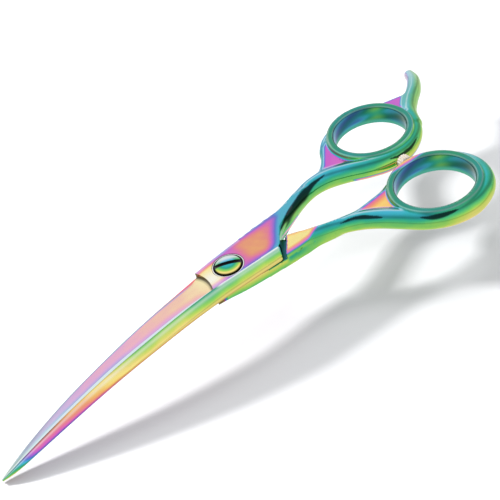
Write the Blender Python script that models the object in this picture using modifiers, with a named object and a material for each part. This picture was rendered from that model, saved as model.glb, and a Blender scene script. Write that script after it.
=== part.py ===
"""Curved grooming shears: two forged halves on a slotted pivot screw, with a fluted ring bumper.

Frame: +Z is the pivot axis, towards the screw's slotted head. +X runs from the pivot to the finger
rings and -X to the tips. The origin is on the pivot axis, at the flat back end of the pivot screw.
Both blades bend out of the plane of the rings, towards -Z. Units are metres.
"""

import math

import bmesh
import bpy
from mathutils import Matrix, Vector

MM = 0.001
GAP = 0.3 * MM                     # clearance between pieces that touch on the real shears

SHAVE = 0.02 * MM                  # keeps joined faces off each other's planes
STEP_SHY = 0.1 * MM                # the step block stays this far inside the plates' flat faces
WELD = 0.005 * MM                  # points nearer than this are one point
PAST = 9.0 * MM                    # how far a cutter runs past what it cuts

# Driving dimensions
TIP_X = -91.0 * MM                 # blade tip, measured from the pivot axis
HEEL_X = -9.2 * MM                 # step where the ground blade begins
PLATE_T = 3.2 * MM                 # thickness of one half at the pivot
TURN_R = 20.6 * MM                 # the full-thickness shanks start this far from the pivot axis,
TURN_R_OUTER = 18.3 * MM           # and this far by the back of the other half's plate
TURN_FROM, TURN_TO = math.radians(9), math.radians(26)   # the one radius runs into the other here
SCREW_PROUD = 0.2 * MM             # the screw's end stands this far out of the rear half
PART_Z = PLATE_T + SCREW_PROUD     # height of the plane where the two halves meet
TIP_DROP = 20.5 * MM               # how far the blades bend down at the tip
BEND_START_X = -4.0 * MM
BEND_POWER = 1.6

RING_HALF_HEIGHT = 3.7 * MM
RING_SOFT = 0.6 * MM               # broken edges of the ring collars
COLLAR_WALL = 2.4 * MM
WEB_T = 3.8 * MM                   # sheets between a ring and its shank, and beside the tang
TANG_WEB_T = 3.2 * MM
FINGER_RING = (71.3 * MM, 18.4 * MM)
FINGER_HOLE_R = 12.5 * MM
THUMB_RING = (67.7 * MM, -19.2 * MM)
THUMB_HOLE_R = 12.9 * MM

HEAD_R = 4.3 * MM
HEAD_RISE = 1.1 * MM               # dome above the plate
HEAD_SUNK = 0.35 * MM              # underside of the head below the plate's face
HEAD_RIM = 0.5 * MM                # straight rim under the dome
SOFT = 0.25 * MM                   # broken edge on turned pieces
SLOT_WIDTH = 1.0 * MM
SLOT_DEPTH = 0.8 * MM
SLOT_ANGLE = math.radians(-27)
SHOULDER_R = 2.4 * MM
THREAD_R = 1.9 * MM
BUSH_R = 3.3 * MM
SEAT_R = 5.4 * MM                  # round seat sunk in the upper plate for the head's washer
SEAT_DEPTH = 1.7 * MM
CUP_PROUD = 0.05 * MM              # rim of the cup washer above the plate
SPRING_T = 0.3 * MM
RIDE_R = 4.6 * MM                  # thin washer between the halves
RIDE_RECESS = 0.6 * MM             # depth of its recess in the upper half

BUMPER_AT = (69.8 * MM, 0.3 * MM, PART_Z + 0.3 * MM)   # middle of its seat on the finger ring
BUMPER_R = 2.4 * MM
BUMPER_LENGTH = 3.25 * MM
BUMPER_FLUTES = 16
FLUTE_DEPTH = 0.15 * MM
PAD_PROFILE = [                    # (height from the seat, share of the full radius)
    (GAP, 0.94), (2 * GAP, 1.0), (BUMPER_LENGTH - 0.5 * MM, 1.0),
    (BUMPER_LENGTH - 0.1 * MM, 0.9), (BUMPER_LENGTH, 0.78),
]
BUMPER_STUD_R = 1.0 * MM
BUMPER_STUD_DEPTH = 2.4 * MM       # how far the stud goes into the ring, and into the pad

FINGER, THUMB = 1, -1              # the halves are near twins, turned half a turn about X

HEEL_LAP = 2.0                     # the ground blade runs this far into the full plate, in mm
HEEL_LIP = 0.4                     # the full plate stands this far out past the ground edge, in mm
EDGE_T = 0.25                      # land left along the cutting edge, in mm

# Blade outlines by distance from the pivot: (x, spine, lower facet edge, upper facet edge,
# cutting edge, thickness), in millimetres, all measured across the blade from the pivot line.
# The thumb blade is the narrower one, so that it nearly hides under the finger blade when closed.
FINGER_BLADE = [
    (15.2, -8.3, -5.4, -5.35, 7.8, 3.05),
    (8.0, -8.4, -5.3, -5.25, 7.25, 3.05),
    (0.0, -8.4, -5.3, -5.25, 6.35, 3.05),
    (-9.2, -8.4, -5.2, -5.15, 5.2, 3.05),
    (-18.0, -8.1, -4.8, -4.2, 5.2, 2.7),
    (-32.0, -7.5, -4.1, -3.2, 5.0, 2.3),
    (-48.0, -6.3, -3.0, -1.9, 4.3, 1.95),
    (-64.0, -5.0, -2.2, -1.3, 3.6, 1.65),
    (-78.0, -3.6, -1.6, -0.9, 2.3, 1.35),
    (-86.0, -2.4, -1.2, -0.7, 1.1, 1.05),
    (-91.0, -0.7, -0.35, -0.2, 0.1, 0.5),
]
THUMB_BLADE = [
    (15.2, -8.3, -5.4, -5.35, 8.1, 3.05),
    (8.0, -8.4, -5.3, -5.25, 7.8, 3.05),
    (0.0, -8.0, -5.1, -5.05, 7.1, 3.05),
    (-9.2, -6.9, -4.4, -4.35, 5.6, 3.05),
    (-18.0, -6.1, -3.6, -3.0, 5.2, 2.7),
    (-32.0, -5.5, -3.1, -2.2, 4.8, 2.3),
    (-48.0, -4.6, -2.3, -1.2, 3.8, 1.95),
    (-64.0, -3.8, -1.8, -0.9, 3.0, 1.65),
    (-78.0, -2.5, -1.1, -0.4, 1.8, 1.35),
    (-86.0, -1.5, -0.7, -0.2, 0.9, 1.05),
    (-91.0, -0.5, -0.2, -0.05, 0.1, 0.5),
]


def clear_scene():
    for obj in list(bpy.data.objects):
        bpy.data.objects.remove(obj, do_unlink=True)


clear_scene()
PARTS = bpy.data.collections.new("curved_grooming_shears")
CUTTERS = bpy.data.collections.new("cutters")
bpy.context.scene.collection.children.link(PARTS)
bpy.context.scene.collection.children.link(CUTTERS)


# ---------------------------------------------------------------- helpers

def material(name, colour, roughness, metallic):
    made = bpy.data.materials.new(name)
    made.use_nodes = True
    shader = made.node_tree.nodes["Principled BSDF"]
    shader.inputs["Base Color"].default_value = (*colour, 1.0)
    shader.inputs["Roughness"].default_value = roughness
    shader.inputs["Metallic"].default_value = metallic
    made.diffuse_color = (*colour, 1.0)
    return made


def add_object(name, mesh, collection, made_of=None):
    obj = bpy.data.objects.new(name, mesh)
    collection.objects.link(obj)
    if made_of is not None:
        mesh.materials.append(made_of)
    if collection is CUTTERS:
        obj.hide_render = True
        obj.display_type = "WIRE"
    return obj


def from_bmesh(name, bm, collection, made_of=None):
    bmesh.ops.recalc_face_normals(bm, faces=bm.faces)
    mesh = bpy.data.meshes.new(name)
    bm.to_mesh(mesh)
    bm.free()
    mesh.shade_smooth()
    mesh.set_sharp_from_angle(angle=math.radians(32))
    return add_object(name, mesh, collection, made_of)


def loft(name, rings, collection, made_of=None):
    """A closed body through rings of equally many points, capped at both ends."""
    bm = bmesh.new()
    rows = [[bm.verts.new(point) for point in ring] for ring in rings]
    count = len(rows[0])
    for low, high in zip(rows, rows[1:]):
        for i in range(count):
            j = (i + 1) % count
            bm.faces.new((low[i], low[j], high[j], high[i]))
    bm.faces.new(rows[0])
    bm.faces.new(rows[-1])
    return from_bmesh(name, bm, collection, made_of)


def curve_to_mesh(obj, collection):
    """Turns a curve object into a closed mesh object of the same name, in the same place."""
    graph = bpy.context.evaluated_depsgraph_get()
    mesh = bpy.data.meshes.new_from_object(obj.evaluated_get(graph))
    placing = obj.matrix_world.copy()
    name = obj.name
    bpy.data.objects.remove(obj, do_unlink=True)
    bm = bmesh.new()
    bm.from_mesh(mesh)
    bpy.data.meshes.remove(mesh)
    bmesh.ops.remove_doubles(bm, verts=bm.verts, dist=WELD)
    made = from_bmesh(name, bm, collection)
    made.matrix_world = placing
    return made


def smooth_points(points, per_span):
    """Catmull-Rom points through the given tuples of equally many values."""
    ends = [points[0], *points, points[-1]]
    found = []
    for k in range(len(points) - 1):
        before, start, end, after = ends[k:k + 4]
        for step in range(per_span):
            t = step / per_span
            found.append(tuple(
                0.5 * (2 * b + (c - a) * t + (2 * a - 5 * b + 4 * c - d) * t * t
                       + (3 * b - a - 3 * c + d) * t ** 3)
                for a, b, c, d in zip(before, start, end, after)
            ))
    found.append(tuple(points[-1]))
    return found


def rod(name, points, per_span, sides=3):
    """A round tapered rod through (x, y, z, radius) points, in metres, as a mesh."""
    curve = bpy.data.curves.new(name, "CURVE")
    curve.dimensions = "3D"
    curve.bevel_depth = 1.0
    curve.bevel_resolution = sides
    curve.use_fill_caps = True
    path = smooth_points(points, per_span)
    spline = curve.splines.new("POLY")
    spline.points.add(len(path) - 1)
    for point, (x, y, z, radius) in zip(spline.points, path):
        point.co = (x, y, z, 1.0)
        point.radius = radius
    obj = bpy.data.objects.new(name, curve)
    CUTTERS.objects.link(obj)
    return curve_to_mesh(obj, CUTTERS)


def slab(name, outline, low, high):
    """A flat outline of (x, y) points in metres, thick from height low to height high, as a mesh."""
    curve = bpy.data.curves.new(name, "CURVE")
    curve.dimensions = "2D"
    curve.fill_mode = "BOTH"
    curve.extrude = (high - low) / 2
    spline = curve.splines.new("POLY")
    spline.use_cyclic_u = True
    spline.points.add(len(outline) - 1)
    for point, (x, y) in zip(spline.points, outline):
        point.co = (x, y, 0.0, 1.0)
    obj = bpy.data.objects.new(name, curve)
    CUTTERS.objects.link(obj)
    obj.location = (0.0, 0.0, (low + high) / 2)
    bpy.context.view_layer.update()
    return curve_to_mesh(obj, CUTTERS)


def turned(name, profile, steps, collection, made_of=None, centre=(0.0, 0.0, 0.0), closed=False):
    """A body turned about +Z from (radius, height) points that run down its outer side."""
    bm = bmesh.new()
    verts = [bm.verts.new((radius, 0.0, height)) for radius, height in profile]
    for start, end in zip(verts, verts[1:]):
        bm.edges.new((start, end))
    if closed:
        bm.edges.new((verts[-1], verts[0]))
    mesh = bpy.data.meshes.new(name)
    bm.to_mesh(mesh)
    bm.free()
    obj = add_object(name, mesh, collection, made_of)
    screw = obj.modifiers.new("turn", "SCREW")
    screw.axis = "Z"
    screw.steps = steps
    screw.render_steps = steps
    screw.use_merge_vertices = True
    screw.merge_threshold = WELD
    screw.use_smooth_shade = True
    obj.location = centre
    return obj


def combine(obj, operation, *others):
    for other in others:
        step = obj.modifiers.new(f"{operation.lower()}_{other.name}", "BOOLEAN")
        step.operation = operation
        step.solver = "EXACT"
        step.object = other


def disc(name, radius, low, high, steps=32, centre=(0.0, 0.0)):
    profile = [(0.0, high), (radius, high), (radius, low), (0.0, low)]
    return turned(name, profile, steps, CUTTERS, centre=(*centre, 0.0))


# ---------------------------------------------------------------- blade halves

def bend(x):
    """Height of the blades' meeting surface above the flat part at the pivot."""
    run = max(0.0, (BEND_START_X - x) / (BEND_START_X - TIP_X))
    return -TIP_DROP * run ** BEND_POWER


def place(side, x, y, height):
    """A point of one half from its distance along, across and away from the meeting surface."""
    return (x, side * y, PART_Z + bend(x) + side * (GAP / 2 + height))


def band(spine, facet, thickness, steps=4):
    """The rounded back of the blade, from the facet's edge down to the spine."""
    return [
        (facet + (spine - facet) * math.sin(k * math.pi / 2 / steps),
         thickness * math.cos(k * math.pi / 2 / steps) ** 0.8)
        for k in range(1, steps + 1)
    ]


def blade_sections(side, ground):
    """Sections along one half: the ground blade ahead of the heel, or the full plate behind it."""
    stations = smooth_points(FINGER_BLADE if side == FINGER else THUMB_BLADE, 3)
    heel = HEEL_X / MM
    if ground:
        kept = [row for row in stations if row[0] < heel + HEEL_LAP]
    else:
        kept = [row for row in stations if row[0] > heel - EDGE_T / 2]
    rings = []
    for x, spine, low_facet, high_facet, edge, thick in kept:
        if ground:
            top = [(edge, 0.0), (edge, EDGE_T), (high_facet, thick - SHAVE / MM),
                   (low_facet, thick - SHAVE / MM)]
        else:
            edge = edge + HEEL_LIP
            top = [(edge, 0.0), (edge, thick), (high_facet, thick), (low_facet, thick)]
        section = top + band(spine, low_facet, thick)
        rings.append([place(side, x * MM, y * MM, h * MM) for y, h in section])
    return rings


def ring_collar(name, centre, hole_r):
    inner, outer = hole_r, hole_r + COLLAR_WALL
    half = RING_HALF_HEIGHT
    profile = [
        (inner + RING_SOFT, half), (outer - RING_SOFT, half), (outer, half - RING_SOFT),
        (outer, RING_SOFT - half), (outer - RING_SOFT, -half), (inner + RING_SOFT, -half),
        (inner, RING_SOFT - half), (inner, half - RING_SOFT),
    ]
    profile = [(radius, PART_Z + height) for radius, height in profile]
    return turned(name, profile, 48, CUTTERS, centre=(*centre, 0.0), closed=True)


def millimetres(rows):
    """(x, y, radius) rows in millimetres to (x, y, z, radius) in metres, in the meeting plane."""
    return [(x * MM, y * MM, PART_Z, radius * MM) for x, y, radius in rows]


# Centre lines of the round shanks, as (x, y, radius) in millimetres in the meeting plane: each runs
# from the pivot plate to its ring and on round the ring's outside. A thinner ridge branches off to
# the other side of the ring, and a web, given by its outline, fills the space between the two.
FINGER_SHANK = [
    (12.0, 1.0, 2.4), (18.0, 3.4, 2.9), (24.0, 6.2, 2.9), (30.0, 9.0, 2.8), (36.0, 11.4, 2.9),
    (42.0, 12.9, 3.1), (48.0, 12.3, 3.2), (54.0, 9.6, 3.2), (60.0, 6.0, 3.2), (66.5, 3.2, 3.1),
    (73.5, 3.0, 2.8), (80.0, 6.0, 2.5), (84.6, 11.0, 2.3), (86.3, 17.0, 2.3),
]
FINGER_RIDGE = [
    (44.0, 13.4, 1.8), (49.0, 16.0, 1.8), (53.0, 20.0, 1.7), (56.0, 25.0, 1.6), (60.0, 29.2, 1.4),
    (66.0, 32.4, 1.2),
]
FINGER_WEB = [(44, 12), (50, 17), (56, 25), (60, 28), (62, 12), (62, 5), (52, 9)]
TANG = [
    (85.6, 12.0, 2.3), (88.6, 18.5, 2.5), (93.0, 23.4, 2.7), (98.0, 27.6, 2.6), (101.6, 32.4, 2.3),
    (103.2, 37.2, 1.9),
]
TANG_WEB = [(84, 18), (90, 20), (95, 26), (90, 27.4), (84, 29), (78, 30)]
THUMB_SHANK = [
    (12.0, -1.0, 2.2), (18.0, -3.0, 2.6), (24.0, -5.2, 2.4), (30.0, -7.4, 2.3), (36.0, -9.6, 2.5),
    (42.0, -12.6, 2.9), (47.0, -17.0, 3.1), (51.5, -22.5, 3.2), (56.0, -28.2, 3.2),
    (62.0, -32.6, 3.2), (69.5, -34.3, 3.2), (76.5, -32.2, 3.0), (81.4, -27.6, 2.7),
    (83.8, -21.0, 2.4), (83.0, -14.0, 2.0), (79.0, -8.4, 1.7), (73.0, -5.0, 1.5),
]
THUMB_RIDGE = [
    (38.0, -9.8, 1.6), (44.0, -9.9, 1.6), (50.0, -9.4, 1.6), (55.0, -8.6, 1.5), (60.0, -6.6, 1.4),
    (66.0, -4.9, 1.4), (73.0, -5.0, 1.4),
]
THUMB_WEB = [(38, -10.5), (50, -9.5), (58, -8.5), (56, -14), (54, -24), (46, -16)]

# Outlines at the pivot, drawn as seen from each half's own side: the neck carries the full-width
# plate on into the shank in that half's own layer, and the step is the wall behind the turning
# circle of the other half's plate, over the height of both.
NECK_FINGER = [
    (8, -5.3), (15.0, -5.5), (17.0, -4.4), (19.7, -0.3), (22.1, 1.8), (26.5, 4.6), (32, 7.0),
    (33, 10.6), (30, 10.2), (27.2, 9.65), (22.2, 8.8), (14, 7.9), (8, 7.2),
]
NECK_THUMB = [
    (8, -5.3), (15.0, -5.5), (17.0, -4.4), (19.7, -0.8), (22.1, 1.2), (26.5, 3.6), (32, 6.0),
    (33, 9.0), (28, 8.8), (22.2, 8.6), (14, 8.3), (8, 7.3),
]
STEP_FINGER = [(14, 7.7), (14, 1.0), (20.4, 2.0), (25, 4.3), (30, 7.6), (31, 9.6), (24, 8.7), (19, 8.2)]
STEP_THUMB = [(14, 7.7), (14, 1.5), (20.4, 2.4), (25, 4.3), (29.5, 6.6), (29.5, 8.4), (24, 8.7), (19, 8.4)]


def on_side(side, outline):
    return [(x * MM, side * y * MM) for x, y in outline]


def turn_clearance(name, side):
    """Room behind the pivot for the other half's plate, on that half's side of the meeting plane."""
    steps = 36
    outline = []
    for k in range(steps + 1):
        a = -math.pi / 2 + math.pi * k / steps
        share = min(1.0, max(0.0, (a - TURN_FROM) / (TURN_TO - TURN_FROM)))
        radius = TURN_R + (TURN_R_OUTER - TURN_R) * share
        outline.append((radius * math.cos(a), side * radius * math.sin(a)))
    near, far = side * (GAP / 2 - SHAVE), -side * PAST
    return slab(name, outline, PART_Z + min(near, far), PART_Z + max(near, far))


def shears_half(name, side, ring, hole_r, shank, ridge, web, neck, step, extras, made_of):
    """One forging: blade, pivot plate, shank, ring body, web and ring collar, made as one body."""
    body = loft(name, blade_sections(side, False), PARTS, made_of)
    blade = loft(f"{name}_blade", blade_sections(side, True), CUTTERS)
    bow = rod(f"{name}_bow", millimetres(shank), 3)
    branch = rod(f"{name}_ridge", millimetres(ridge), 3, 2)
    sheet = slab(f"{name}_web", on_side(1, web), PART_Z - WEB_T / 2, PART_Z + WEB_T / 2)
    near, far = side * (GAP / 2 + SHAVE), side * (PLATE_T - 2 * SHAVE)
    plate = slab(f"{name}_neck", on_side(side, neck), PART_Z + min(near, far), PART_Z + max(near, far))
    block = slab(f"{name}_step", on_side(side, step),
                 PART_Z - PLATE_T + STEP_SHY, PART_Z + PLATE_T - STEP_SHY)
    combine(body, "UNION", blade, bow, sheet, branch, block, plate, *extras)
    combine(body, "DIFFERENCE", turn_clearance(f"{name}_clearance", side),
            disc(f"{name}_hole", hole_r + COLLAR_WALL / 2, PART_Z - PAST, PART_Z + PAST, 48, ring))
    combine(body, "UNION", ring_collar(f"{name}_collar", ring, hole_r))
    return body


coated = material("rainbow_coated_steel", (0.45, 0.62, 0.60), 0.16, 1.0)
screw_steel = material("rainbow_screw_steel", (0.20, 0.60, 0.62), 0.18, 1.0)
polished = material("polished_steel", (0.80, 0.81, 0.82), 0.15, 1.0)
spring_steel = material("spring_steel", (0.52, 0.53, 0.55), 0.3, 1.0)
nylon = material("white_nylon", (0.86, 0.85, 0.80), 0.45, 0.0)
silicone = material("pale_silicone", (0.84, 0.76, 0.66), 0.5, 0.0)

tang = rod("tang", millimetres(TANG), 4)
tang_web = slab("tang_web", on_side(1, TANG_WEB), PART_Z - TANG_WEB_T / 2, PART_Z + TANG_WEB_T / 2)
finger_half = shears_half("finger_half", FINGER, FINGER_RING, FINGER_HOLE_R, FINGER_SHANK,
                          FINGER_RIDGE, FINGER_WEB, NECK_FINGER, STEP_FINGER,
                          (tang, tang_web), coated)
thumb_half = shears_half("thumb_half", THUMB, THUMB_RING, THUMB_HOLE_R, THUMB_SHANK,
                         THUMB_RIDGE, THUMB_WEB, NECK_THUMB, STEP_THUMB, (), coated)

# seat and bores at the pivot
PLATE_TOP = PART_Z + PLATE_T
RECESS_TOP = PART_Z + GAP / 2 + RIDE_RECESS
combine(finger_half, "DIFFERENCE",
        disc("seat", SEAT_R, PLATE_TOP - SEAT_DEPTH, PLATE_TOP + PAST, 40),
        disc("bush_bore", BUSH_R + GAP, PART_Z - PAST, PLATE_TOP, 32),
        disc("ride_recess", RIDE_R + GAP, PART_Z - PAST, RECESS_TOP, 32))
combine(thumb_half, "DIFFERENCE",
        disc("thread_bore", THREAD_R + GAP, PART_Z - PAST, PART_Z + PAST, 32))

# ---------------------------------------------------------------- pivot pieces

HEAD_LOW = PLATE_TOP - HEAD_SUNK
RIM_HIGH = HEAD_LOW + HEAD_RIM
DOME_STEPS = 6
dome_angles = [k * math.pi / 2 / DOME_STEPS for k in range(DOME_STEPS + 1)]
dome = [
    (HEAD_R * math.sin(a), RIM_HIGH + (PLATE_TOP + HEAD_RISE - RIM_HIGH) * math.cos(a))
    for a in dome_angles
]
screw_profile = dome + [
    (HEAD_R, HEAD_LOW + SOFT), (HEAD_R - SOFT, HEAD_LOW), (SHOULDER_R, HEAD_LOW),
    (SHOULDER_R, PART_Z - GAP / 2 + SOFT / 2), (THREAD_R, PART_Z - GAP / 2 - SOFT / 2),
    (THREAD_R, SOFT), (THREAD_R - SOFT, 0.0), (0.0, 0.0),
]
pivot_screw = turned("pivot_screw", screw_profile, 40, PARTS, screw_steel)
bm = bmesh.new()
bmesh.ops.create_cube(bm, size=1.0, matrix=Matrix.Rotation(SLOT_ANGLE, 4, "Z") @ Matrix.Diagonal(
    (3 * HEAD_R, SLOT_WIDTH, 2 * SLOT_DEPTH, 1.0)))
bmesh.ops.translate(bm, verts=bm.verts, vec=Vector((0, 0, dome[0][1])))
combine(pivot_screw, "DIFFERENCE", from_bmesh("slot", bm, CUTTERS))

FLOOR = PLATE_TOP - SEAT_DEPTH
SPRING_LOW = FLOOR + GAP
SPRING_HIGH = SPRING_LOW + SPRING_T
CUP_LOW = SPRING_HIGH + GAP
turned("screw_cup_washer", [
    (SEAT_R - GAP - SOFT, PLATE_TOP + CUP_PROUD), (SEAT_R - GAP, PLATE_TOP + CUP_PROUD - SOFT / 2),
    (SEAT_R - GAP, CUP_LOW), (SHOULDER_R + GAP, CUP_LOW),
    (SHOULDER_R + GAP, HEAD_LOW - GAP), (HEAD_R - SOFT, HEAD_LOW - GAP),
    (HEAD_R + GAP, HEAD_LOW - GAP + SOFT),
], 40, PARTS, polished, closed=True)
turned("tension_spring_washer", [
    (SEAT_R - 2 * GAP, SPRING_HIGH), (SEAT_R - 2 * GAP, SPRING_LOW),
    (BUSH_R + GAP, SPRING_LOW), (BUSH_R + GAP, SPRING_HIGH),
], 32, PARTS, spring_steel, closed=True)
turned("pivot_bush", [
    (BUSH_R, FLOOR), (BUSH_R, RECESS_TOP), (SHOULDER_R + GAP, RECESS_TOP), (SHOULDER_R + GAP, FLOOR),
], 32, PARTS, nylon, closed=True)
turned("ride_washer", [
    (RIDE_R, RECESS_TOP - GAP), (RIDE_R, PART_Z + GAP / 2),
    (SHOULDER_R + GAP, PART_Z + GAP / 2), (SHOULDER_R + GAP, RECESS_TOP - GAP),
], 32, PARTS, nylon, closed=True)

# ---------------------------------------------------------------- ring bumper


def across(obj):
    """Turns a piece made along +Z so that it points from its seat towards the thumb ring."""
    obj.rotation_euler = (math.pi / 2, 0.0, 0.0)
    obj.location = BUMPER_AT
    return obj


def fluted_pad():
    """A short fluted cylinder with a rounded free end, along +Z."""
    count = BUMPER_FLUTES * 4
    rings = []
    for height, shrink in PAD_PROFILE:
        ring = []
        for k in range(count):
            angle = 2 * math.pi * k / count
            radius = shrink * (BUMPER_R - FLUTE_DEPTH * (1 - math.cos(BUMPER_FLUTES * angle)) / 2)
            ring.append((radius * math.cos(angle), radius * math.sin(angle), height))
        rings.append(ring)
    return loft("bumper_pad", rings, PARTS, silicone)


def stud(name, radius, low, high, collection, made_of=None):
    profile = [(0.0, high), (radius, high), (radius, low), (0.0, low)]
    return across(turned(name, profile, 24, collection, made_of))


bumper_pad = across(fluted_pad())
stud("bumper_stud", BUMPER_STUD_R, -BUMPER_STUD_DEPTH, BUMPER_STUD_DEPTH - GAP, PARTS, polished)
combine(bumper_pad, "DIFFERENCE",
        stud("pad_bore", BUMPER_STUD_R + GAP, -BUMPER_LENGTH, BUMPER_STUD_DEPTH, CUTTERS))
combine(finger_half, "DIFFERENCE",
        stud("ring_bore", BUMPER_STUD_R + GAP, -BUMPER_STUD_DEPTH - GAP, BUMPER_LENGTH, CUTTERS),
        stud("ring_seat", BUMPER_R + GAP, 0.0, BUMPER_LENGTH, CUTTERS))
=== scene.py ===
"""Looks of the curved grooming shears: fine meshes over the CAD frame, coating, light and camera.

Lengths are in millimetres until a mesh is made. Heights are measured from the plane where the two
halves meet, PART_Z above the frame's origin; turned pieces and the bumper measure from the origin.
"""
import math

import bmesh
import bpy
import numpy as np
from mathutils import Matrix, Vector


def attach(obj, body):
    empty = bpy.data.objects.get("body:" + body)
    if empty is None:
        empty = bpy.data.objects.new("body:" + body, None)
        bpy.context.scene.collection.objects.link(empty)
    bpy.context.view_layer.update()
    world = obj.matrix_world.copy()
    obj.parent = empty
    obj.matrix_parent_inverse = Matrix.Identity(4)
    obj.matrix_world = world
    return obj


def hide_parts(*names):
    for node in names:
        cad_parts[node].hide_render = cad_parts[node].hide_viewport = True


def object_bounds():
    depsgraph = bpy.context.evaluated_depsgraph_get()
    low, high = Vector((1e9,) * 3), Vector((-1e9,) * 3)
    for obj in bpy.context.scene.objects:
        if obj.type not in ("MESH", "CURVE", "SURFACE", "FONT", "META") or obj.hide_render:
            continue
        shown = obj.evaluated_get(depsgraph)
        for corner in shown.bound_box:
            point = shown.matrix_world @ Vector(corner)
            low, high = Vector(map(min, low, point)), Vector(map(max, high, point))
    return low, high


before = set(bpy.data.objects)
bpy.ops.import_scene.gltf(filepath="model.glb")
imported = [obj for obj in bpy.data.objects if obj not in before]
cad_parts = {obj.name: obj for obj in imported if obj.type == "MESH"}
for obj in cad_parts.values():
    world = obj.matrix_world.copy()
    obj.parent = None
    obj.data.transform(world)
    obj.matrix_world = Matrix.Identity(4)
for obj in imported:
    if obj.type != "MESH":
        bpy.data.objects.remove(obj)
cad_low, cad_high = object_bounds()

MM = 0.001
PART_Z = 3.4
GAP = 0.15  # each half starts this far from the meeting plane
PLATE_TOP = 3.2
HEEL_X = -9.2  # the ground blade ends here in a step up to the plate
HEEL_BOW, HEEL_HALF = 1.05, 5.4  # the step is an arc this deep, and this wide to each side
SEAM_X = 9.0  # the blade's loft ends and the handle's field begins
TIP_X, TIP_DROP, BEND_START_X, BEND_POWER = -91.0, 20.5, -4.0, 1.6
TURN_R, TURN_R_OUTER = 20.6, 18.3  # where the full-thickness shanks begin, inside and outside
PLATE_LIP = 0.4  # the plate stands out past the ground edge
PLATE_CHAMFER = 0.25
PLATE_SPINE, PLATE_FACET = -8.35, -5.35
PLATE_END, PLATE_END_R = 15.9, 16.9
FACET_FROM, FACET_WIDE = 3.6, 4.9  # the step block slopes away from here to its outer side
CELL = 0.34  # side of a cell in the handle's field
RING_HALF, RING_WALL = 3.7, 2.4
WEB_HALF, STEP_HALF, TANG_WEB_HALF = 1.9, 3.12, 1.6
SEAT_R, RECESS_R, BORE_R, THREAD_R = 5.3, 4.9, 3.6, 2.2
SEAT_FLOOR, RECESS_ROOF = 1.5, 0.75
BEYOND = 9.0  # cutters reach this far, well past both halves

FINGER_BLADE = np.array([
    # x, spine, lower facet edge, upper facet edge, cutting edge, thickness
    (-91.0, -0.7, -0.35, -0.2, 0.1, 0.47),
    (-86.0, -2.4, -1.2, -0.7, 1.1, 1.05),
    (-78.0, -3.6, -1.6, -0.9, 2.3, 1.35),
    (-64.0, -5.0, -2.2, -1.3, 3.6, 1.65),
    (-48.0, -6.3, -3.0, -1.9, 4.3, 1.95),
    (-32.0, -7.5, -4.1, -3.2, 5.0, 2.3),
    (-18.0, -8.1, -4.8, -4.2, 5.2, 2.7),
    (-9.2, -8.4, -5.2, -5.15, 5.2, 3.05),
    (0.0, -8.4, -5.3, -5.25, 6.35, 3.05),
    (8.0, -8.4, -5.3, -5.25, 7.25, 3.05),
    (15.2, -8.3, -5.4, -5.35, 7.8, 3.05),
])
THUMB_BLADE = np.array([
    (-91.0, -0.5, -0.2, -0.05, 0.1, 0.47),
    (-86.0, -1.5, -0.7, -0.2, 0.9, 1.05),
    (-78.0, -2.5, -1.1, -0.4, 1.8, 1.35),
    (-64.0, -3.8, -1.8, -0.9, 3.0, 1.65),
    (-48.0, -4.6, -2.3, -1.2, 3.8, 1.95),
    (-32.0, -5.5, -3.1, -2.2, 4.8, 2.3),
    (-18.0, -6.1, -3.6, -3.0, 5.2, 2.7),
    (-9.2, -6.9, -4.4, -4.35, 5.6, 3.05),
    (0.0, -8.0, -5.1, -5.05, 7.1, 3.05),
    (8.0, -8.4, -5.3, -5.25, 7.8, 3.05),
    (15.2, -8.3, -5.4, -5.35, 8.1, 3.05),
])

# Seen from above: shank, ridge and tang rows are x, y and radius, painted reflections (dark lenses) a
# path and its half width.
# The neck's and the step's y are turned to the half's own side; every other y is the frame's.
FINGER = {
    "name": "finger_half", "side": 1, "blade": FINGER_BLADE, "ring": (71.3, 18.4), "hole": 12.5,
    "painted_reflections": [([(20.6, -0.2), (22.4, 1.7), (26.7, 4.6), (30.6, 6.8), (36.2, 9.4), (41.6, 11.3),
                 (47.6, 11.5)], 1.25),
               ([(66.0, 1.4), (70.0, 0.6), (75.0, 1.3), (80.0, 3.8)], 0.5)],
    "box": ((SEAM_X - 1, -9.6, -4.6), (106.5, 41.0, 4.6)),
    "shank": [(12.0, 1.0, 2.4), (18.0, 3.4, 2.9), (24.0, 6.2, 2.9), (30.0, 9.0, 2.8),
              (36.0, 11.4, 2.9), (42.0, 12.9, 3.1), (48.0, 12.3, 3.2), (54.0, 9.6, 3.2),
              (60.0, 6.0, 3.2), (66.5, 3.2, 3.1), (73.5, 3.0, 2.8), (80.0, 6.0, 2.5),
              (84.6, 11.0, 2.3), (86.3, 17.0, 2.3)],
    "ridge": [(44.0, 13.4, 1.8), (49.0, 16.0, 1.8), (53.0, 20.0, 1.7), (56.0, 25.0, 1.6),
              (60.0, 29.2, 1.4), (66.0, 32.4, 1.2)],
    "web": [(44, 12), (50, 17), (56, 25), (60, 28), (62, 12), (62, 5), (52, 9)],
    "tang": [(85.6, 12.0, 2.3), (88.6, 18.5, 2.5), (93.0, 23.4, 2.7), (98.0, 27.6, 2.6),
             (101.6, 32.0, 2.3), (102.9, 35.7, 1.85)],
    "tang_web": [(84, 18), (90, 20), (95, 26), (90, 27.4), (84, 29), (78, 30)],
    "neck": [(8, -5.3), (15.4, -5.5), (17.0, -4.4), (19.2, -1.2), (21.6, 1.4), (26.0, 4.6),
             (32, 8.0), (38, 11.4), (34, 11.3), (31.8, 10.6), (27.2, 9.75), (23.5, 9.1), (18, 8.4),
             (14, 8.15), (8, 7.6)],
    "step": [(14, 8.35), (14, 1.0), (20.4, 2.0), (25, 4.3), (30, 7.6), (37, 11.6), (32, 10.4),
             (24, 8.9)],
}
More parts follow.
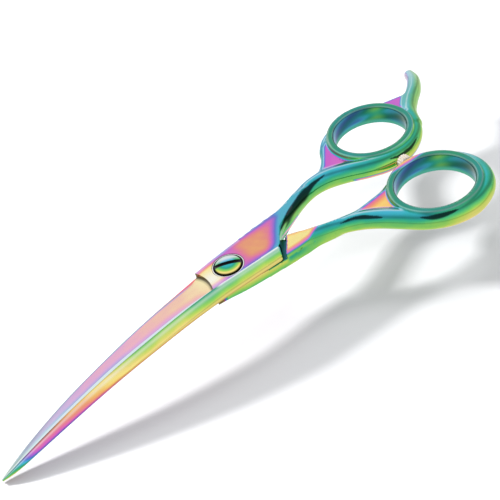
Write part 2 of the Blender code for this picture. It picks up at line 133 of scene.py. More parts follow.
THUMB = {
    "name": "thumb_half", "side": -1, "blade": THUMB_BLADE, "ring": (67.7, -19.2), "hole": 12.9,
    "painted_reflections": [([(35.8, -10.9), (39.5, -12.4), (42.0, -14.2), (44.0, -16.4), (46.6, -19.6)], 0.8),
               ([(53.6, -28.4), (56.5, -31.3), (60.0, -33.5), (63.8, -34.9)], 0.8)],
    "box": ((SEAM_X - 1, -39.0, -4.6), (88.0, 9.6, 4.6)),
    "shank": [(12.0, -1.0, 2.2), (18.0, -3.0, 2.6), (24.0, -5.2, 2.4), (30.0, -7.4, 2.3),
              (36.0, -9.6, 2.5), (42.0, -12.6, 2.9), (47.0, -17.0, 3.1), (51.5, -22.5, 3.2),
              (56.0, -28.2, 3.2), (62.0, -32.6, 3.2), (69.5, -34.3, 3.17), (76.5, -32.2, 3.0),
              (81.4, -27.6, 2.7), (83.8, -21.0, 2.4), (83.0, -14.0, 2.0), (79.0, -8.4, 1.7),
              (73.0, -5.0, 1.5)],
    "ridge": [(38.0, -9.8, 1.6), (44.0, -9.9, 1.6), (50.0, -9.4, 1.6), (55.0, -8.6, 1.5),
              (60.0, -6.6, 1.4), (66.0, -4.9, 1.4), (73.0, -5.0, 1.4)],
    "web": [(38, -10.5), (50, -9.5), (58, -8.5), (56, -14), (54, -24), (46, -16)],
    "tang": None,
    "neck": [(8, -5.3), (15.4, -5.5), (17.0, -4.4), (19.7, -0.8), (22.1, 1.2), (26.5, 3.6),
             (32, 6.4), (37, 9.6), (33, 9.4), (28, 8.9), (22.2, 8.7), (14, 8.45), (8, 8.1)],
    "step": [(14, 8.5), (14, 1.5), (20.4, 2.6), (25, 4.6), (30.6, 7.2), (36, 9.6), (33, 9.6),
             (29, 9.1), (24, 9.0), (19, 8.7)],
}


# ------------ small helpers

def catmull(points, per_span):
    """A smooth path through the points, with per_span steps from one to the next."""
    p = np.array(points, float)
    p = np.vstack([p[:1], p, p[-1:]])
    t = np.arange(per_span)[:, None] / per_span
    found = []
    for a, b, c, d in zip(p, p[1:], p[2:], p[3:]):
        found.append(0.5 * (2 * b + (c - a) * t + (2 * a - 5 * b + 4 * c - d) * t ** 2
                            + (3 * b - a - 3 * c + d) * t ** 3))
    return np.vstack(found + [p[-1:]])


def ramp(value, low, high):
    t = np.clip((value - low) / (high - low), 0, 1)
    return t * t * (3 - 2 * t)


def smin(a, b, k):
    """The smaller of two distances, blended over k."""
    h = np.clip(0.5 + 0.5 * (b - a) / k, 0, 1)
    return b + (a - b) * h - k * h * (1 - h)


def smax(a, b, k):
    return -smin(-a, -b, k)


def mix(first, second, share):
    return first + share * (second - first)


def bell(value, middle, wide):
    return np.exp(-((value - middle) / wide) ** 2)


for half in (FINGER, THUMB):
    half["smooth"] = catmull(half["blade"], 12)


def plate_edge(half, x):
    return np.interp(x, half["blade"][:, 0], half["blade"][:, 4]) + PLATE_LIP


def blade_lines(half, x):
    """Spine, lower facet edge, upper facet edge, cutting edge and thickness at x."""
    smooth = half["smooth"]
    return [np.interp(x, smooth[:, 0], smooth[:, k]) for k in range(1, 6)]


def chain(x, y, rows):
    """Nearest distance to a tapered centre line, and the radius there."""
    path = catmull(rows, 8)
    near = np.full(np.shape(x), 1e3)
    radius = np.zeros(np.shape(x))
    for (ax, ay, ar), (bx, by, br) in zip(path, path[1:]):
        dx, dy = bx - ax, by - ay
        t = np.clip(((x - ax) * dx + (y - ay) * dy) / (dx * dx + dy * dy), 0, 1)
        d = np.hypot(x - ax - t * dx, y - ay - t * dy)
        r = ar + t * (br - ar)
        closer = d - r < near - radius
        near = np.where(closer, d, near)
        radius = np.where(closer, r, radius)
    return near, radius


def outline(x, y, points):
    """Signed distance to a closed outline, negative inside."""
    p = np.array(points, float)
    q = np.roll(p, -1, axis=0)
    near = np.full(np.shape(x), 1e6)
    inside = np.zeros(np.shape(x), bool)
    for (ax, ay), (bx, by) in zip(p, q):
        dx, dy = bx - ax, by - ay
        t = np.clip(((x - ax) * dx + (y - ay) * dy) / (dx * dx + dy * dy), 0, 1)
        near = np.minimum(near, (x - ax - t * dx) ** 2 + (y - ay - t * dy) ** 2)
        crosses = (ay > y) != (by > y)
        if dy != 0:
            inside ^= crosses & (x < dx * (y - ay) / dy + ax)
    return np.where(inside, -1, 1) * np.sqrt(near)


def extrude(flat, high, soft):
    """A flat outline's distance with a height's distance, edges rounded by soft."""
    a, b = flat + soft, high + soft
    return np.minimum(np.maximum(a, b), 0) + np.hypot(np.maximum(a, 0), np.maximum(b, 0)) - soft


def turn_radius(x, own):
    """The turning circle of the other half's plate, drawn in towards its back."""
    share = np.clip((np.degrees(np.arctan2(own, x)) - 9) / 17, 0, 1)
    return TURN_R + (TURN_R_OUTER - TURN_R) * share


# ------------ handles as one smooth field

def flat_fields(half, x, y):
    """Everything about a place seen from above; own is y, turned to the half's own side."""
    own = half["side"] * y
    q = {
        "x": x, "own": own,
        "shank": chain(x, y, half["shank"]),
        "ridge": chain(x, y, half["ridge"]),
        "web": outline(x, y, half["web"]),
        "neck": outline(x, own, half["neck"]),
        "step": outline(x, own, half["step"]),
        "clear": np.maximum(np.hypot(x, y) - turn_radius(x, own), -x),
        "rho": np.hypot(x - half["ring"][0], y - half["ring"][1]),
    }
    q["from_wall"] = q["rho"] - half["hole"] - 0.5 * RING_WALL
    if half["tang"]:
        q["tang"] = chain(x, y, half["tang"])
        q["tang_web"] = outline(x, y, half["tang_web"])
    return q


def handle(half, q, z):
    """Roughly the signed distance to a half's handle; w is height, turned to its own side."""
    w = half["side"] * z
    x, own = q["x"], q["own"]
    # round shank and ridge, with a flat sheet between them
    bow = np.hypot(q["shank"][0], z) - q["shank"][1]
    ridge = np.hypot(q["ridge"][0], z) - q["ridge"][1]
    f = smin(bow, ridge, 1.6)
    f = smin(f, extrude(q["web"], np.abs(z) - WEB_HALF, 0.4), 1.3)
    # the step block, as thick as both halves, its far side sloping away
    step = extrude(q["step"], np.abs(z) - STEP_HALF + 0.85 * ramp(x, 23, 33), 0.25)
    u = np.maximum(own - FACET_FROM, 0) / FACET_WIDE
    v = np.maximum(-w - GAP, 0) / (PLATE_TOP - GAP)
    rounded = (np.sqrt(u ** 2.2 + v ** 2.5) - 1) * 2.6
    step = np.where(w < 0, smax(step, rounded, 0.1), step)
    f = smin(f, step, 0.35 + 1.9 * ramp(x, 22, 31))
    # the neck, at the plate's own height
    middle, room = (PLATE_TOP + GAP) / 2, (PLATE_TOP - GAP) / 2
    soft = 0.22 + 1.25 * ramp(x - 0.8 * own, 13, 22) * ramp(own, -2.5, 3.5)
    lowered = 0.45 * ramp(x, 25, 37)
    neck = extrude(q["neck"], np.abs(w - middle) - room + lowered, soft)
    f = smin(f, neck, 0.35 + 2.4 * ramp(x, 23, 35))
    # the plate, with its rounded back, as far as the turning circle
    u = np.maximum(PLATE_FACET - own, 0) / (PLATE_FACET - PLATE_SPINE)
    v = np.maximum(w - GAP, 0) / (PLATE_TOP - GAP)
    back = (np.sqrt(u * u + v ** 2.5) - 1) * 2.6
    face = extrude(own - plate_edge(half, x), np.abs(w - middle) - room, 0.22)
    deck = np.maximum(np.where(own < PLATE_FACET, back, face), GAP - w)
    deck = np.maximum(deck, np.maximum(x - PLATE_END, np.hypot(x, own) - PLATE_END_R))
    f = np.minimum(f, deck)
    # flat tops near the pivot, room for the other half, and the finger ring
    f = smax(f, np.abs(z) - PLATE_TOP - 1.2 * ramp(x, 31, 43), 0.06)
    f = smax(f, -np.maximum(q["clear"], w - GAP), 0.12)
    f = smax(f, -q["from_wall"], 0.3)
    if half["tang"]:
        tang = np.hypot(q["tang"][0], z) - q["tang"][1]
        tang = smin(tang, extrude(q["tang_web"], np.abs(z) - TANG_WEB_HALF, 0.3), 0.9)
        f = smin(f, np.maximum(tang, -q["from_wall"]), 1.0)
    wall = extrude(np.abs(q["from_wall"]) - 0.5 * RING_WALL, np.abs(z) - RING_HALF, 0.85)
    f = smin(f, wall, 0.9)
    return np.maximum(f, SEAM_X - x)


def field_at(half, x, y, z):
    return handle(half, flat_fields(half, x, y), z)


def slope_at(half, points):
    """The field's unit slope at each row of points."""
    e = 0.02
    x, y, z = points.T
    here = field_at(half, x, y, z)
    n = np.array([field_at(half, x + e, y, z) - here, field_at(half, x, y + e, z) - here,
                  field_at(half, x, y, z + e) - here])
    return (n / np.maximum(np.linalg.norm(n, axis=0), 1e-9)).T


def polygonise(half, low, high):
    """Dual contouring of the handle's field: one vertex a cell, sharp edges kept."""
    axes = [np.arange(a, b + CELL, CELL) for a, b in zip(low, high)]
    gx, gy = np.meshgrid(axes[0], axes[1], indexing="ij")
    q = flat_fields(half, gx, gy)
    deep = {k: tuple(a[:, :, None] for a in v) if isinstance(v, tuple) else v[:, :, None]
            for k, v in q.items()}
    field = handle(half, deep, axes[2][None, None, :])
    points, owners, quads = [], [], []
    for axis in range(3):
        first, second = [slice(1, -1)] * 3, [slice(1, -1)] * 3
        first[axis], second[axis] = slice(0, -1), slice(1, None)
        a, b = field[tuple(first)], field[tuple(second)]
        at = np.argwhere((a < 0) != (b < 0))
        low_corner = at + np.array([0 if k == axis else 1 for k in range(3)])
        fa, fb = a[tuple(at.T)], b[tuple(at.T)]
        share = fa / (fa - fb)
        p = np.array([axes[k][low_corner[:, k]] for k in range(3)])
        p[axis] += share * CELL
        points.append(p)
        o1, o2 = [k for k in range(3) if k != axis]
        cells = []
        for s1, s2 in ((0, 0), (-1, 0), (-1, -1), (0, -1)):
            c = low_corner.copy()
            c[:, o1] += s1
            c[:, o2] += s2
            cells.append(np.ravel_multi_index(c.T, field.shape))
        cells = np.array(cells).T
        turn = (fa < 0) ^ (axis == 1)
        quads.append(np.where(turn[:, None], cells, cells[:, ::-1]))
        owners.append(cells)
    p = np.hstack(points)
    owner = np.vstack(owners)
    n = slope_at(half, p.T).T
    p = p - n * field_at(half, *p)
    used, index = np.unique(owner, return_inverse=True)
    index = index.reshape(owner.shape).ravel()

    def gather(row):
        """Sums a value of the crossed edges over each cell; an edge has four cells."""
        return np.bincount(index, weights=np.repeat(row, 4), minlength=len(used))

    mean = np.array([gather(p[k]) for k in range(3)]) / gather(np.ones(p.shape[1]))
    ata = np.zeros((len(used), 3, 3))
    atb = np.zeros((len(used), 3))
    d = (n * p).sum(axis=0)
    for i in range(3):
        atb[:, i] = gather(n[i] * d)
        for j in range(3):
            ata[:, i, j] = gather(n[i] * n[j])
    pull = atb - np.einsum("vij,jv->vi", ata, mean)
    ata += np.eye(3) * 0.06
    v = mean.T + np.linalg.solve(ata, pull[:, :, None])[:, :, 0]
    cell = np.array(np.unravel_index(used, field.shape)).T
    base = np.array([axes[k][cell[:, k]] for k in range(3)]).T
    v = np.clip(v, base - 0.1 * CELL, base + 1.1 * CELL)
    return v, np.searchsorted(used, np.vstack(quads))


# ------------ blade and plate as a loft

def bend(x):
    run = np.maximum(0, (BEND_START_X - x) / (BEND_START_X - TIP_X))
    return -TIP_DROP * run ** BEND_POWER


PLAIN, BEVEL, FACET, BACK, INNER, WALL = range(6)
BEVEL_LAND = 0.22  # height of the flat at the cutting edge
BEVEL_BELLY = 0.16  # the bevel swells this far, where the blade is 3 thick
HEEL_RUN, HEEL_RISE = 2.8, 0.42  # over this run the bevel rises by this share to the step
HOLLOW = 0.12  # depth of the inner face's hollow
BEVEL_STEPS = (0, 0.05, 0.1, 0.2, 0.3, 0.4, 0.5, 0.6, 0.7, 0.8, 0.9, 1)
PLATE_STEPS = [k / 10 for k in range(11)]
BACK_STEPS, INNER_STEPS = 14, 9


def blade_row(half, x, ground):
    """One section's points: across, height, and what the stretch after the point belongs to."""
    spine, low_facet, high_facet, edge, thick = blade_lines(half, x)
    row = []
    if ground:
        row.append((edge, 0.0, WALL))
        for s in BEVEL_STEPS:
            belly = BEVEL_BELLY * 4 * s * (1 - s) * thick / 3
            height = BEVEL_LAND + (thick - BEVEL_LAND) * s + belly
            rise = HEEL_RISE * float(ramp(x, HEEL_X - HEEL_RUN, HEEL_X)) ** 2
            height += rise * (thick - height)
            row.append((edge + (high_facet - edge) * s, height, FACET if s == 1 else BEVEL))
    else:
        edge = edge + PLATE_LIP
        top_edge = edge - PLATE_CHAMFER
        row.append((edge, 0.0, WALL))
        row.append((edge, thick - PLATE_CHAMFER, WALL))
        for s in PLATE_STEPS:
            row.append((top_edge + (high_facet - top_edge) * s, thick, PLAIN))
    for k in range(BACK_STEPS):
        a = k * math.pi / 2 / BACK_STEPS
        row.append((low_facet + (spine - low_facet) * math.sin(a), thick * math.cos(a) ** 0.8, BACK))
    row.append((spine, 0.0, INNER))
    for k in range(1, INNER_STEPS):
        s = k / INNER_STEPS
        hollow = HOLLOW * math.sin(math.pi * min(1, s * 1.15)) * float(ramp(-x, 10, 24))
        row.append((spine + (edge - spine) * s, hollow, INNER))
    return row


def blade_mesh(half):
    """Vertices, faces and their kinds for one half ahead of the seam."""
    side = half["side"]
    ahead = TIP_X + (HEEL_X - TIP_X) * (1 - np.cos(np.linspace(0, math.pi / 2, 110)))
    ahead = np.sort(np.append(ahead, (HEEL_X - 0.7, HEEL_X - 0.35)))
    behind = np.linspace(HEEL_X, SEAM_X, 34)
    order = [(x, True) for x in ahead] + [(x, False) for x in behind]
    rows = [blade_row(half, x, ground) for x, ground in order]
    per_row = len(rows[0])
    vertices, faces, kinds = [], [], []
    for (x, _), row in zip(order, rows):
        near_heel = 1.0 - float(ramp(abs(x - HEEL_X), 0.0, 5.0))
        for y, h, _ in row:
            arc = HEEL_BOW * max(0.0, 1 - (y / HEEL_HALF) ** 2)
            along = x + (near_heel * arc if h > 0.3 else 0.0)
            vertices.append((along, side * y, float(bend(along)) + side * (GAP + h)))
    for r in range(len(order) - 1):
        at_heel = order[r][1] and not order[r + 1][1]
        for i in range(per_row):
            a, b = r * per_row + i, r * per_row + (i + 1) % per_row
            faces.append((a, b, b + per_row, a + per_row))
            kind = rows[r][i][2]
            kinds.append(WALL if at_heel and kind in (BEVEL, FACET) else kind)
    last = (len(order) - 1) * per_row
    for first, kind in ((0, BEVEL), (last, INNER)):
        faces.append(tuple(range(first, first + per_row)))
        kinds.append(kind)
    return vertices, faces, kinds


# ------------ coating: where on the colour order, with painted highlights and painted shade

def wander(x, y, z):
    """A slow smooth wander, so that no stretch of the coat has one flat colour."""
    return (np.sin(0.21 * x + 0.9 * np.sin(0.17 * y) + 0.4) * 0.5
            + np.sin(0.47 * y - 0.23 * x + 1.3 * z + 2.1) * 0.3
            + np.sin(0.83 * x + 0.61 * y - 0.9 * z) * 0.2)


def plate_film(half, x, own):
    """Plate face: yellow ahead of the screw, magenta round it, orange behind, violet to blue rims."""
    rim = np.minimum(plate_edge(half, x) - own, own + 5.3)
    film = 0.36 - 0.30 * ramp(-x, -3.0, 5.0)
    inside = ramp(x, 4, 9) * (1 - ramp(x, 15, 22)) * (1 - ramp(np.abs(own - 1.5), 3.0, 6.5))
    film = film - 0.14 * inside
    film = film + 0.15 * (1 - ramp(rim, 0.0, 1.9)) * ramp(x, -4, 4)
    film = film + 0.38 * (1 - ramp(rim, 0.5, 2.7)) * ramp(-x, -4, 4)
    return film + 0.02 * wander(x * 2, own * 2, 0)


def plate_painted_highlight(x, own):
    """Painted highlight on the plate, washing its colour out: a light patch at the heel, a little
    everywhere.
    """
    return 0.05 + 0.75 * np.exp(-((x + 7.0) ** 2 + (own + 1.2) ** 2) / 14.0)


def plate_shade(x):
    """The plate is a little deeper behind the screw."""
    return 0.11 * ramp(x, 1.5, 6.0)


def wall_film(x, w):
    """The plate's outer wall, w up from its inner face: orange to green, then teal to lime behind."""
    share = np.clip(w / 2.8, 0, 1)
    film = mix(0.98 - 0.18 * share, 0.72 + 0.18 * share, ramp(x, 15.4, 17.4))
    return film + 0.02 * wander(x, w, 2)


def bevel_film(x, share):
    """Ground bevel; share runs from the cutting edge (0) to the facet line (1)."""
    stops = [(-91, 0.80), (-85, 0.66), (-78, 0.52), (-70, 0.45), (-60, 0.39), (-48, 0.34),
             (-36, 0.29), (-24, 0.22), (-15, 0.15), (-9, 0.10)]
    film = np.interp(x, [s[0] for s in stops], [s[1] for s in stops])
    film = film + 0.15 * ramp(share, 0.62, 1.0) * ramp(-x, 8, 16)
    film = mix(film, 0.74, bell(share, 0, 0.07) * ramp(-x, 9, 20))
    return film + 0.035 * wander(x * 1.3, share * 8, 0)


def back_film(x, share):
    """Rounded back; share runs from the facet (0) round to the inner edge (1)."""
    film = 0.74 + 0.07 * ramp(share, 0.04, 0.30) + 0.06 * ramp(share, 0.30, 0.62)
    film = film + 0.10 * ramp(-x, 6, 34) * (1 - 0.4 * share)
    film = film + 0.08 * ramp(share, 0.58, 0.80) + 0.17 * ramp(share, 0.80, 1.0)
    film = film + 0.40 * ramp(-x, 32, 76) + 0.45 * ramp(-x, 76, 89)
    return film + 0.03 * wander(x, share * 5, 0)


def back_painted_highlight(x, share):
    """Painted highlights: a bright sheen a little below the facet, and a white line beside the plate.
    """
    sheen = 0.34 * bell(share, 0.26, 0.13)
    return np.maximum(sheen, 0.96 * bell(share, 0, 0.15) * ramp(x, HEEL_X, HEEL_X + 3))


def back_shade(x, share):
    """Painted shade: a thin dark line where the back meets the ground facet, and the turn to the inner
    edge.
    """
    line = 0.50 * bell(share, 0, 0.055) * (1 - ramp(x, HEEL_X, HEEL_X + 3))
    return line + 0.40 * ramp(share, 0.9, 1.0)


def lens(x, y, path, wide):
    """1 inside a long pointed oval along a path seen from above, 0 outside it."""
    line = catmull(path, 90 // (len(path) - 1))
    near = np.full(len(x), 1e3)
    share = np.zeros(len(x))
    for k, (px, py) in enumerate(line):
        off = np.hypot(x - px, y - py)
        share = np.where(off < near, k / (len(line) - 1), share)
        near = np.minimum(near, off)
    half_width = np.maximum(wide * np.sin(math.pi * share) ** 0.7, 1e-3)
    return 1 - ramp(near / half_width, 0.62, 1.0)


def round_share(own, facet, spine):
    """How far round the back a point is: 0 at the facet, 1 at the spine."""
    across = np.clip((facet - own) / np.maximum(facet - spine, 0.1), 0, 1)
    return np.arcsin(across) / (math.pi / 2)


def bow_coat(x, y, z, n):
    """The round bows, with a narrow painted sheen beside a deeper painted streak standing in for a
    dark reflection.
    """
    along, across, up = n.T
    film = 0.64 + 0.15 * ramp(-up, -0.97, -0.15) + 0.11 * ramp(-up, -0.1, 0.9)
    film = film - 0.05 * across - 0.02 * along + 0.03 * wander(x, y, z)
    film = film - 0.12 * ramp(across, 0.35, 0.95) * ramp(up, -0.2, 0.3)
    film = film + 0.11 * ramp(x, 54, 72) * ramp(-across, -0.35, 0.4)
    # painted sheen along the bows, then a painted dark reflection streak along their crest
    painted_highlight = 0.45 * bell(up, 0.50, 0.13) * ramp(across, 0.45, 0.7)
    painted_highlight = painted_highlight + 0.42 * bell(across, 0.16, 0.09) * ramp(up, 0.75, 0.92)
    shade = 0.50 * bell(across, -0.40, 0.15) * ramp(up, 0.60, 0.80)
    return film, painted_highlight, shade


def sheet_coat(half, q, y, n, film, painted_highlight):
    """Flat sheets between the shank, the ridge and the ring, and the finger rest, whose horn gets a
    painted highlight.
    """
    along, up = n[:, 0], n[:, 2]
    flat = ramp(np.abs(up), 0.90, 0.99)
    sheet = ramp(-q["web"], 0.0, 1.2) * flat * ramp(q["shank"][0] - q["shank"][1], -0.9, 0.1)
    middle = 0.39 if half["side"] > 0 else 0.13 + 0.16 * (1 - ramp(-q["web"], 0.8, 4.2))
    film = mix(film, middle, sheet)
    if half["tang"]:
        film = mix(film, 0.40, ramp(-q["tang_web"], 0.0, 0.8) * flat)
        horn = ramp(q["tang"][1] + 0.8 - q["tang"][0], 0.0, 0.6) * ramp(q["rho"], 16.2, 18.0)
        green = 0.67 + 0.19 * ramp(along, -0.1, 0.6) - 0.22 * ramp(-along, 0.35, 0.8)
        film = mix(film, green - 0.04 * ramp(y, 29, 38), horn)
        # painted highlight on the finger rest's horn, brighter toward its end and on its rounded side
        light = 0.10 + 0.30 * ramp(y, 24, 36) + 0.3 * ramp(-along, 0.5, 0.9)
        painted_highlight = np.maximum(painted_highlight, horn * light)
    return film, painted_highlight


def ring_coat(half, q, y, z, up, film, painted_highlight, shade):
    """Ring wall: deep blue with a green patch under painted shade, aqua with a faint painted highlight
    round its lower edge; a teal rim, its edges painted bright.
    """
    inward = 1 - ramp(q["rho"], half["hole"] + 0.15, half["hole"] + 0.8)
    around = np.arctan2(y - half["ring"][1], q["x"] - half["ring"][0])
    low = ramp(-z, 0.9, 2.6)
    inner = 0.59 + 0.20 * bell(around, 0.75, 0.36) + 0.04 * np.sin(5 * around + 1.5 * z)
    inner = mix(inner + 0.10 * bell(around, -0.2, 0.5), 0.72, low)
    film = mix(film, inner, inward)
    # painted shade on the inner wall above its aqua lower band
    wall_painted_shade = 0.56 + 0.16 * np.sin(4 * around + 0.9 * z + 0.8) - 0.42 * bell(around, 2.45, 0.15)
    wall_painted_shade = wall_painted_shade - 0.22 * bell(around, 0.75, 0.3)
    shade = np.maximum(shade, inward * (1 - low) * wall_painted_shade)
    painted_highlight = np.maximum(painted_highlight, 0.06 * inward * low)
    across = np.abs(q["from_wall"]) / (0.5 * RING_WALL)
    rim = ramp(np.abs(z), RING_HALF - 0.7, RING_HALF - 0.25) * ramp(np.abs(up), 0.25, 0.6)
    rim = rim * (across < 1.5)
    film = mix(film, 0.715 + 0.02 * np.sin(3 * around), rim)
    # painted highlight lines at the rim's edges, painted shade between them
    line = bell(across, 0.80, 0.16) * rim
    painted_highlight = np.maximum(painted_highlight, 0.26 * line)
    shade = np.maximum(shade, 0.30 * rim * (1 - line))
    return film, painted_highlight, shade


def facet_coat(q, w, out):
    """The step block's sloping facet: where it is, and its film, orange inside and violet outside."""
    x, own = q["x"], q["own"]
    past = own - np.interp(x, [22, 26, 29.5, 31.5], [8.2, 8.0, 7.2, 6.0])
    facet = (w < -0.6) * ramp(-out, 0.15, 0.4) * (x > 14) * (1 - ramp(past, -0.1, 0.5))
    facet = facet * ramp(q["clear"], 0.02, 0.2)
    face = 0.06 + 0.30 * ramp(past, -1.1, 0.1) + 0.17 * ramp(past, -0.1, 0.5)
    face = face + 0.12 * np.exp(-np.maximum(own - 3.4 - 0.40 * (x - 20.4), 0) / 0.5)
    face = face + 0.03 * wander(x * 2, own * 3, 1)
    return facet, np.clip(face, 0.02, 0.56)


def deck_coat(half, q, w, up, film, painted_highlight, shade):
    """Plate and neck faces, the step block's facet and the plate's rounded back and walls, with
    painted highlights and painted shade on them.
    """
    x, own = q["x"], q["own"]
    out = half["side"] * up
    flat = ramp(out, 0.90, 0.995) * ramp(w, PLATE_TOP - 0.5, PLATE_TOP - 0.1) * (x < 40)
    face = mix(plate_film(half, x, own), 0.63, ramp(x - 0.8 * own, 14.5, 20.5))
    film = mix(film, face, flat)
    painted_highlight = np.maximum(painted_highlight, flat * plate_painted_highlight(x, own))
    shade = mix(shade, plate_shade(x), flat)
    facet, face = facet_coat(q, w, out)
    film = mix(film, face, facet)
    painted_highlight = np.maximum(painted_highlight, 0.10 * facet)
    shade = shade * (1 - facet)
    share = round_share(own, PLATE_FACET, PLATE_SPINE)
    back = (np.hypot(x, own) < PLATE_END_R - 0.05) * (own < PLATE_FACET)
    back = back * (w > GAP + 0.02) * (out > -0.3)
    film = np.where(back, back_film(x, share), film)
    painted_highlight = np.where(back, back_painted_highlight(x, share), painted_highlight)
    shade = np.where(back, back_shade(x, share), shade)
    # painted highlight: a bright line along the neck's rim
    painted_rim_highlight = bell(q["neck"], -0.15, 0.2) * (own > 5) * (x < 30) * (w > PLATE_TOP - 0.4)
    painted_highlight = np.maximum(painted_highlight, 0.6 * painted_rim_highlight)
    wall = (w > GAP) * (own > 7.0) * (1 - ramp(np.abs(up), 0.4, 0.7)) * (1 - ramp(x, 18, 26))
    film = mix(film, wall_film(x, w - GAP), wall)
    return film, painted_highlight, shade


def gap_shade(half, q, w, n):
    """Painted shade where walls look back at the pivot, into the dark of the gap; also on the meeting
    face and the plate's rear end beside it.
    """
    reach = np.hypot(q["x"], q["own"])
    up = n[:, 2]
    wall = (q["clear"] < 0.15) * (w < GAP + 0.1) * (np.abs(up) < 0.5) * (reach > 16.5)
    rear = (reach > 16.8) * (reach < 18) * (q["own"] < -4) * (w > 0) * (n[:, 0] > 0.7)
    sole = (np.abs(w) < GAP + 0.14) * (half["side"] * up < -0.7) * (q["clear"] < 0.25)
    sole = sole * ramp(reach, 15.5, 16.8)
    return 0.80 * np.maximum(np.maximum(wall, sole), rear)


def handle_coat(half, v, n):
    """Film, painted highlight and painted shade at points v of the handle, where the surface's slope
    is n.
    """
    x, y, z = v.T
    w, up = half["side"] * z, n[:, 2]
    q = flat_fields(half, x, y)
    film, painted_highlight, shade = bow_coat(x, y, z, n)
    film, painted_highlight = sheet_coat(half, q, y, n, film, painted_highlight)
    film, painted_highlight, shade = ring_coat(half, q, y, z, up, film, painted_highlight, shade)
    film, painted_highlight, shade = deck_coat(half, q, w, up, film, painted_highlight, shade)
    shade = np.maximum(shade, gap_shade(half, q, w, n))
    # painted reflections: long dark lenses on the bows, where the polish would mirror something dark
    for path, wide in half["painted_reflections"]:
        shade = np.maximum(shade, 0.94 * lens(x, y, path, wide) * ramp(up, 0.05, 0.25))
    return film, np.clip(painted_highlight, 0, 1), np.clip(shade, 0, 1)


# ------------ materials

def set_inputs(tree, made, **inputs):
    """Sets inputs of a node; an input that is given another node's output is linked to it."""
    for name, value in inputs.items():
        socket = made.inputs[name.replace("_", " ")]
        if isinstance(value, bpy.types.NodeSocket):
            tree.links.new(value, socket)
        else:
            socket.default_value = value


def node(tree, kind, **inputs):
    made = tree.nodes.new("ShaderNode" + kind)
    set_inputs(tree, made, **inputs)
    return made


def noise(tree, place, scale, detail, roughness):
    made = node(tree, "TexNoise", Vector=place, Scale=scale, Detail=detail, Roughness=roughness)
    return made.outputs["Fac"]


def attribute(tree, name):
    made = node(tree, "Attribute")
    made.attribute_name = name
    return made.outputs["Fac"]


def arithmetic(tree, operation, first, *numbers):
    made = node(tree, "Math")
    made.operation = operation
    tree.links.new(first, made.inputs[0])
    for socket, number in zip(made.inputs[1:], numbers):
        socket.default_value = number
    return made


def toward(tree, share, colour, aim):
    """The colour, moved toward aim by share."""
    made = node(tree, "MixRGB", Fac=share, Color1=colour, Color2=(*aim, 1.0))
    return made.outputs["Color"]


def display(red, green, blue):
    """A colour as seen on screen, 0 to 255, as linear light."""
    return tuple(((c / 255 + 0.055) / 1.055) ** 2.4 for c in (red, green, blue))


FILM_WANDER = 0.07  # how far the film's order wanders with a slow noise
TONE_SPREAD = 0.06
COAT_STOPS = [
    (0.00, display(246, 222, 132)), (0.07, display(252, 236, 140)),
    (0.15, display(248, 192, 100)), (0.23, display(240, 146, 116)),
    (0.31, display(236, 116, 166)), (0.39, display(208, 98, 204)),
    (0.47, display(148, 106, 214)), (0.53, display(76, 112, 206)),
    (0.59, display(84, 172, 222)), (0.65, display(66, 190, 200)),
    (0.71, display(40, 160, 136)), (0.78, display(72, 186, 122)),
    (0.85, display(134, 212, 98)), (0.92, display(204, 222, 96)),
    (0.99, display(246, 222, 132)),
]


def colour_ramp(tree, value, stops, interpolation="LINEAR"):
    made = node(tree, "ValToRGB", Fac=value)
    elements = made.color_ramp.elements
    while len(elements) < len(stops):
        elements.new(0.5)
    for element, stop in zip(elements, stops):
        element.position = stop[0]
    for element, stop in zip(elements, stops):
        element.color = (*stop[1], 1.0)
    made.color_ramp.interpolation = interpolation
    return made.outputs["Color"]


def new_material(name):
    """A material, its node tree and the object's own coordinates."""
    made = bpy.data.materials.new(name)
    made.use_nodes = True
    tree = made.node_tree
    return made, tree, node(tree, "TexCoord").outputs["Object"]


def set_surface(tree, colour, gloss, bump, metallic):
    set_inputs(tree, tree.nodes["Principled BSDF"], Base_Color=colour, Metallic=metallic,
               Roughness=gloss.outputs["Result"], Normal=bump.outputs["Normal"])


def coat_material(name, roughness):
    """Polished steel under a thin film: the film attribute picks the colour along its order."""
    made, tree, place = new_material(name)
    shift = arithmetic(tree, "MULTIPLY_ADD", noise(tree, place, 210.0, 3.0, 0.5), FILM_WANDER)
    tree.links.new(attribute(tree, "film"), shift.inputs[2])
    centred = arithmetic(tree, "SUBTRACT", shift.outputs[0], FILM_WANDER / 2)
    wrapped = arithmetic(tree, "WRAP", centred.outputs[0], 1.0, 0.0)
    colour = colour_ramp(tree, wrapped.outputs[0], COAT_STOPS, "B_SPLINE")
    # painted highlight washes the colour toward white; painted shade takes it toward black
    colour = toward(tree, attribute(tree, "painted_highlight"), colour, (0.95, 0.96, 0.95))
    colour = toward(tree, attribute(tree, "shade"), colour, (0.004, 0.006, 0.010))
    # faint smears in the gloss, fine polishing marks and a few hairlines
    gloss = node(tree, "MapRange", Value=noise(tree, place, 95.0, 5.0, 0.65), From_Min=0.3,
                 From_Max=0.75, To_Min=roughness * 0.75, To_Max=roughness * 1.35)
    stretch = node(tree, "Mapping", Vector=place, Scale=(260.0, 9000.0, 9000.0))
    marks = arithmetic(tree, "ADD", noise(tree, place, 5200.0, 4.0, 0.6))
    tree.links.new(noise(tree, stretch.outputs["Vector"], 1.0, 2.0, 0.7), marks.inputs[1])
    bump = node(tree, "Bump", Strength=0.06, Distance=0.00004, Height=marks.outputs[0])
    set_surface(tree, colour, gloss, bump, 1.0)
    return made


